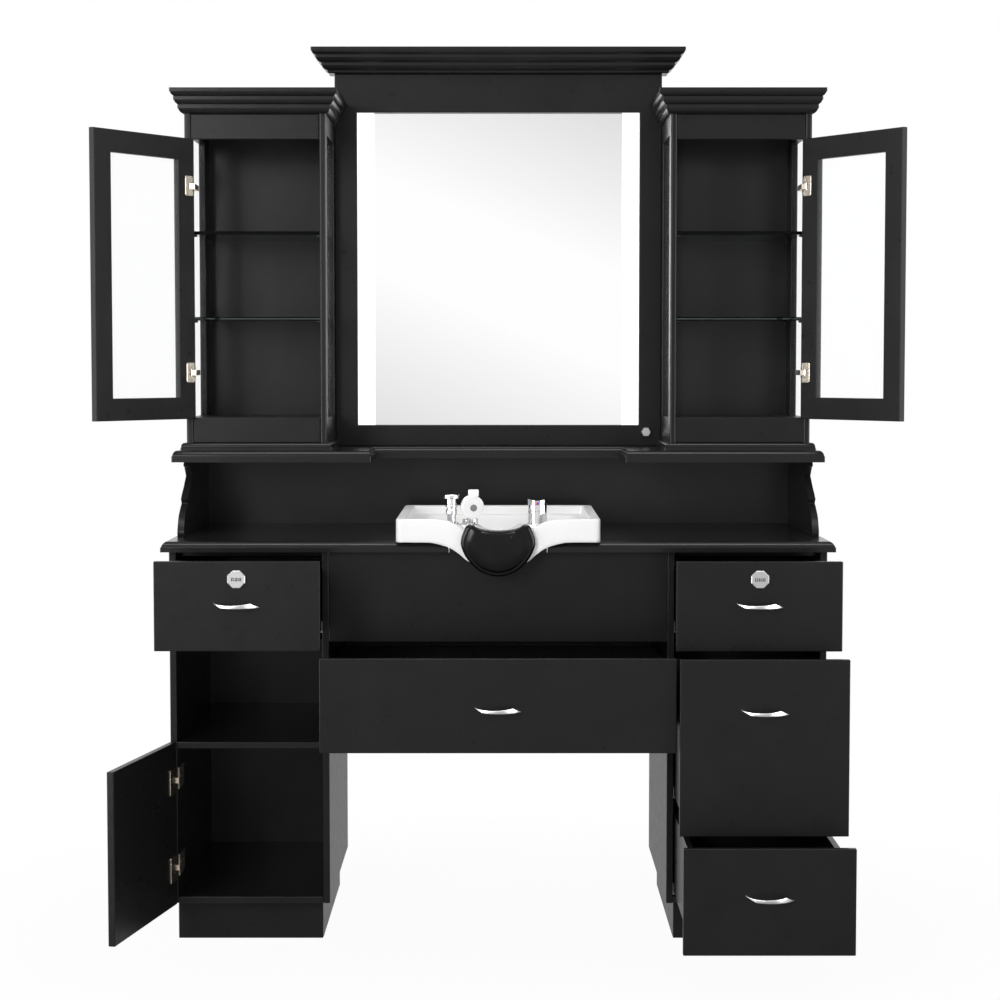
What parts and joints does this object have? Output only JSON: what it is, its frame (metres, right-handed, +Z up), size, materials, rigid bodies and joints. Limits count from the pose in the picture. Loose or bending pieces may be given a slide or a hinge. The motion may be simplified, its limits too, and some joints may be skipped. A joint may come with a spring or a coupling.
{
  "type": "shampoo station",
  "caption": "Black barber shampoo station with a ceramic bowl, pull-out drawers, a swing door and a lit mirror between glazed cabinets.",
  "frame": {"origin": "middle of the resting object's floor rectangle, on the floor", "axes": "+Z up, +Y to the wall behind the station, +X to the right seen from the front"},
  "size_m": [1.7894, 1.067, 2.057],
  "materials": {
    "black_board": "satin black lacquer",
    "white_ceramic": "gloss glaze",
    "black_rubber": "gloss",
    "chrome": "polished",
    "white_plastic": "gloss",
    "black_plastic": "satin",
    "clear_glass": "clear",
    "mirror": "silvered",
    "diffuser": "opal",
    "satin_metal": "satin",
    "zinc": "zinc plated",
    "nickel": "satin champagne"
  },
  "bodies": {
    "station": {"pedestal_sides": "black_board", "pedestal_decks": "black_board", "desk_back_panels": "black_board", "centre_apron": "black_board", "plinth_boards": "black_board", "countertop": "black_board", "runner_channels": "zinc", "basin": "white_ceramic", "neck_rest": "black_rubber", "drain_fitting": "chrome", "vacuum_breaker": "chrome", "mixer_body": "chrome", "spray_holder": "chrome", "hutch_brackets": "black_board", "hutch_shelf": "black_board", "hutch_back_boards": "black_board", "cabinet_sides": "black_board", "cabinet_crosspieces": "black_board", "cabinet_glass": "clear_glass", "shelf_pins": "black_plastic", "cornices": "black_board", "mirror_frame": "black_board", "mirror_glass": "mirror", "mirror_lights": "diffuser", "hinge_mounts": "nickel"},
    "mixer_turret": {"mixer_turret": "chrome"},
    "mixer_lever": {"mixer_lever": "chrome"},
    "spray_head": {"spray_head": "white_plastic"},
    "light_button": {"light_button": "satin_metal"},
    "left_top_drawer": {"left_top_drawer_boards": "black_board", "left_top_drawer_handle": "satin_metal", "left_top_drawer_runners": "zinc"},
    "left_lock": {"left_lock": "satin_metal"},
    "left_lock_dial_1": {"left_lock_dial_1": "satin_metal"},
    "left_lock_dial_2": {"left_lock_dial_2": "satin_metal"},
    "left_lock_dial_3": {"left_lock_dial_3": "satin_metal"},
    "right_top_drawer": {"right_top_drawer_boards": "black_board", "right_top_drawer_handle": "satin_metal", "right_top_drawer_runners": "zinc"},
    "right_lock": {"right_lock": "satin_metal"},
    "right_lock_dial_1": {"right_lock_dial_1": "satin_metal"},
    "right_lock_dial_2": {"right_lock_dial_2": "satin_metal"},
    "right_lock_dial_3": {"right_lock_dial_3": "satin_metal"},
    "right_middle_drawer": {"right_middle_drawer_boards": "black_board", "right_middle_drawer_handle": "satin_metal", "right_middle_drawer_runners": "zinc"},
    "right_bottom_drawer": {"right_bottom_drawer_boards": "black_board", "right_bottom_drawer_handle": "satin_metal", "right_bottom_drawer_runners": "zinc"},
    "centre_drawer": {"centre_drawer_boards": "black_board", "centre_drawer_handle": "satin_metal", "centre_drawer_runners": "zinc"},
    "left_glass_door": {"left_glass_door_frame": "black_board", "left_glass_door_pane": "clear_glass", "left_glass_door_hinges": "nickel"},
    "right_glass_door": {"right_glass_door_frame": "black_board", "right_glass_door_pane": "clear_glass", "right_glass_door_hinges": "nickel"},
    "lower_door": {"lower_door": "black_board", "lower_door_hinges": "nickel"}
  },
  "joints": [
    {"name": "left_top_drawer_slide", "type": "slide", "parent": "station", "child": "left_top_drawer", "axis": [0, -1, 0], "range_m": [-0.213, 0.237]},
    {"name": "left_lock_turn", "type": "hinge", "parent": "left_top_drawer", "child": "left_lock", "pos_m": [-0.553, -0.2815, 0.84], "axis": [0, -1, 0], "range_deg": [0, 90]},
    {"name": "left_lock_dial_1_spin", "type": "hinge", "parent": "left_lock", "child": "left_lock_dial_1", "pos_m": [-0.5608, -0.2858, 0.84], "axis": [1, 0, 0], "continuous": true},
    {"name": "left_lock_dial_2_spin", "type": "hinge", "parent": "left_lock", "child": "left_lock_dial_2", "pos_m": [-0.553, -0.2858, 0.84], "axis": [1, 0, 0], "continuous": true},
    {"name": "left_lock_dial_3_spin", "type": "hinge", "parent": "left_lock", "child": "left_lock_dial_3", "pos_m": [-0.5452, -0.2858, 0.84], "axis": [1, 0, 0], "continuous": true},
    {"name": "right_top_drawer_slide", "type": "slide", "parent": "station", "child": "right_top_drawer", "axis": [0, -1, 0], "range_m": [-0.218, 0.232]},
    {"name": "right_lock_turn", "type": "hinge", "parent": "right_top_drawer", "child": "right_lock", "pos_m": [0.553, -0.2865, 0.84], "axis": [0, -1, 0], "range_deg": [0, 90]},
    {"name": "right_lock_dial_1_spin", "type": "hinge", "parent": "right_lock", "child": "right_lock_dial_1", "pos_m": [0.5452, -0.2908, 0.84], "axis": [1, 0, 0], "continuous": true},
    {"name": "right_lock_dial_2_spin", "type": "hinge", "parent": "right_lock", "child": "right_lock_dial_2", "pos_m": [0.553, -0.2908, 0.84], "axis": [1, 0, 0], "continuous": true},
    {"name": "right_lock_dial_3_spin", "type": "hinge", "parent": "right_lock", "child": "right_lock_dial_3", "pos_m": [0.5608, -0.2908, 0.84], "axis": [1, 0, 0], "continuous": true},
    {"name": "right_middle_drawer_slide", "type": "slide", "parent": "station", "child": "right_middle_drawer", "axis": [0, -1, 0], "range_m": [-0.328, 0.122]},
    {"name": "right_bottom_drawer_slide", "type": "slide", "parent": "station", "child": "right_bottom_drawer", "axis": [0, -1, 0], "range_m": [-0.433, 0.017]},
    {"name": "centre_drawer_slide", "type": "slide", "parent": "station", "child": "centre_drawer", "axis": [0, -1, 0], "range_m": [-0.293, 0.157]},
    {"name": "left_glass_door_swing", "type": "hinge", "parent": "station", "child": "left_glass_door", "pos_m": [-0.7105, 0.188, 1.489], "axis": [0, 0, 1], "range_deg": [-4, 125]},
    {"name": "right_glass_door_swing", "type": "hinge", "parent": "station", "child": "right_glass_door", "pos_m": [0.7105, 0.188, 1.489], "axis": [0, 0, -1], "range_deg": [-4, 125]},
    {"name": "lower_door_swing", "type": "hinge", "parent": "station", "child": "lower_door", "pos_m": [-0.726, -0.0635, 0.272], "axis": [0, 0, 1], "range_deg": [-4, 101.5]},
    {"name": "mixer_turn", "type": "hinge", "parent": "station", "child": "mixer_turret", "pos_m": [0.088, -0.0015, 0.957], "axis": [0, 0, 1], "range_deg": [-45, 45]},
    {"name": "mixer_lift", "type": "hinge", "parent": "mixer_turret", "child": "mixer_lever", "pos_m": [0.088, -0.0165, 0.972], "axis": [1, 0, 0], "range_deg": [0, 12]},
    {"name": "spray_lift", "type": "slide", "parent": "station", "child": "spray_head", "axis": [0, 0, 1], "range_m": [0, 0.07]},
    {"name": "light_button_push", "type": "slide", "parent": "station", "child": "light_button", "axis": [0, 1, 0], "range_m": [0, 0.002], "stiffness_N_per_m": 800}
  ]
}
